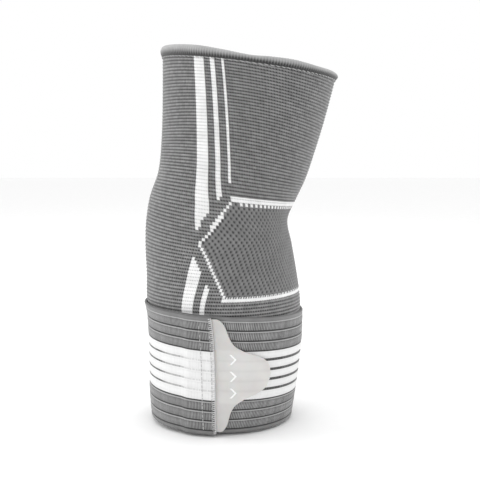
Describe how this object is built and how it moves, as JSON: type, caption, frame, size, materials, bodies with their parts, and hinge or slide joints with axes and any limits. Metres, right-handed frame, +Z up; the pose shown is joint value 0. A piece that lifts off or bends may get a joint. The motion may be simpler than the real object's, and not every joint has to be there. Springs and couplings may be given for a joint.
{
  "type": "elbow support sleeve",
  "caption": "Knitted elbow support sleeve with an open mesh window over the crease and a wrap-round elastic strap closed by a hooked pull tab.",
  "frame": {"origin": "centre of the lower opening, in the plane of the lower rim that the sleeve stands on", "axes": "+Z up along the forearm towards the elbow, +X towards the crease of the elbow, -Y towards the pull tab"},
  "size_m": [0.1247, 0.1036, 0.2393],
  "materials": {
    "grey_knit": "grey three-dimensional knit, matt, in horizontal rows",
    "mesh_knit": "open honeycomb knit, matt",
    "white_yarn": "white knitted yarn",
    "webbing": "woven elastic, ribbed, with grey edges and a white middle",
    "tab_rubber": "moulded soft plastic, pale grey, slightly see-through",
    "hook_plastic": "pad of small moulded hooks",
    "silicone": "clear milky silicone",
    "sewing_thread": "grey sewing thread"
  },
  "bodies": {
    "forearm": {"forearm_knit": "grey_knit", "elbow_knit": "grey_knit", "crease_window_mesh": "mesh_knit", "crease_window_border": "white_yarn", "lower_cuff_welt": "grey_knit", "lower_cuff_elastic": "silicone", "lower_hem_thread": "sewing_thread", "strap_wrap": "webbing", "strap_start_stitches_1": "sewing_thread", "strap_start_stitches_2": "sewing_thread"},
    "upper_arm": {"upper_arm_knit": "grey_knit", "upper_cuff_welt": "grey_knit", "upper_cuff_elastic": "silicone", "upper_hem_thread": "sewing_thread", "silicone_grip_ring": "silicone"},
    "strap_end": {"strap_free_end": "webbing", "strap_end_stitches_1": "sewing_thread", "strap_end_stitches_2": "sewing_thread", "tab_sewn_tail": "tab_rubber"},
    "tab": {"pull_tab": "tab_rubber", "hook_pad": "hook_plastic"}
  },
  "joints": [
    {"name": "elbow_flex", "type": "hinge", "parent": "forearm", "child": "upper_arm", "pos_m": [0, 0, 0.13], "axis": [0, 1, 0], "range_deg": [-17, 75], "deforming": ["elbow_knit", "crease_window_mesh", "crease_window_border"]},
    {"name": "strap_peel", "type": "hinge", "parent": "forearm", "child": "strap_end", "pos_m": [-0.0478, 0.0034, 0.0372], "axis": [0.0436, 0.001, -0.999], "range_deg": [0, 80]},
    {"name": "tab_peel", "type": "hinge", "parent": "strap_end", "child": "tab", "pos_m": [-0.0011, -0.0507, 0.038], "axis": [0.0431, 0.0495, -0.9978], "range_deg": [0, 110]}
  ]
}
